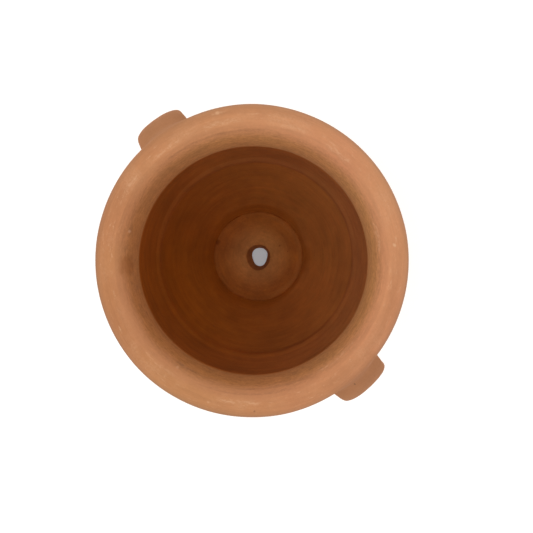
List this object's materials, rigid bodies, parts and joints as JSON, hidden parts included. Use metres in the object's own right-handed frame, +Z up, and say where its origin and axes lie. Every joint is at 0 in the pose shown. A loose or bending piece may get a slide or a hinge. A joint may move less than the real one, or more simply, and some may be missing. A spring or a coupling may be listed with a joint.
{
  "type": "terracotta planter",
  "caption": "Round terracotta floor planter with a rolled, flared rim, a bellied body, strap lugs under the rim and a funnelled drain hole in the floor.",
  "frame": {"origin": "centre of the underside of the pot, on its axis", "axes": "+Z up along the pot's axis, +X towards one lug and -X towards the other, each swung 4 degrees towards -Y"},
  "size_m": [0.347, 0.3, 0.28],
  "materials": {
    "fired_clay": "unglazed, matt, throwing rings and chalky bloom",
    "fired_clay_coil": "unglazed, matt, pressed by hand",
    "fired_clay_lug": "unglazed, matt, pulled by hand"
  },
  "bodies": {
    "root": {"base_slab": "fired_clay", "lower_wall": "fired_clay", "seam_coil": "fired_clay_coil", "upper_wall": "fired_clay", "rim_collar": "fired_clay", "lug_right": "fired_clay_lug", "lug_left": "fired_clay_lug"}
  },
  "joints": []
}
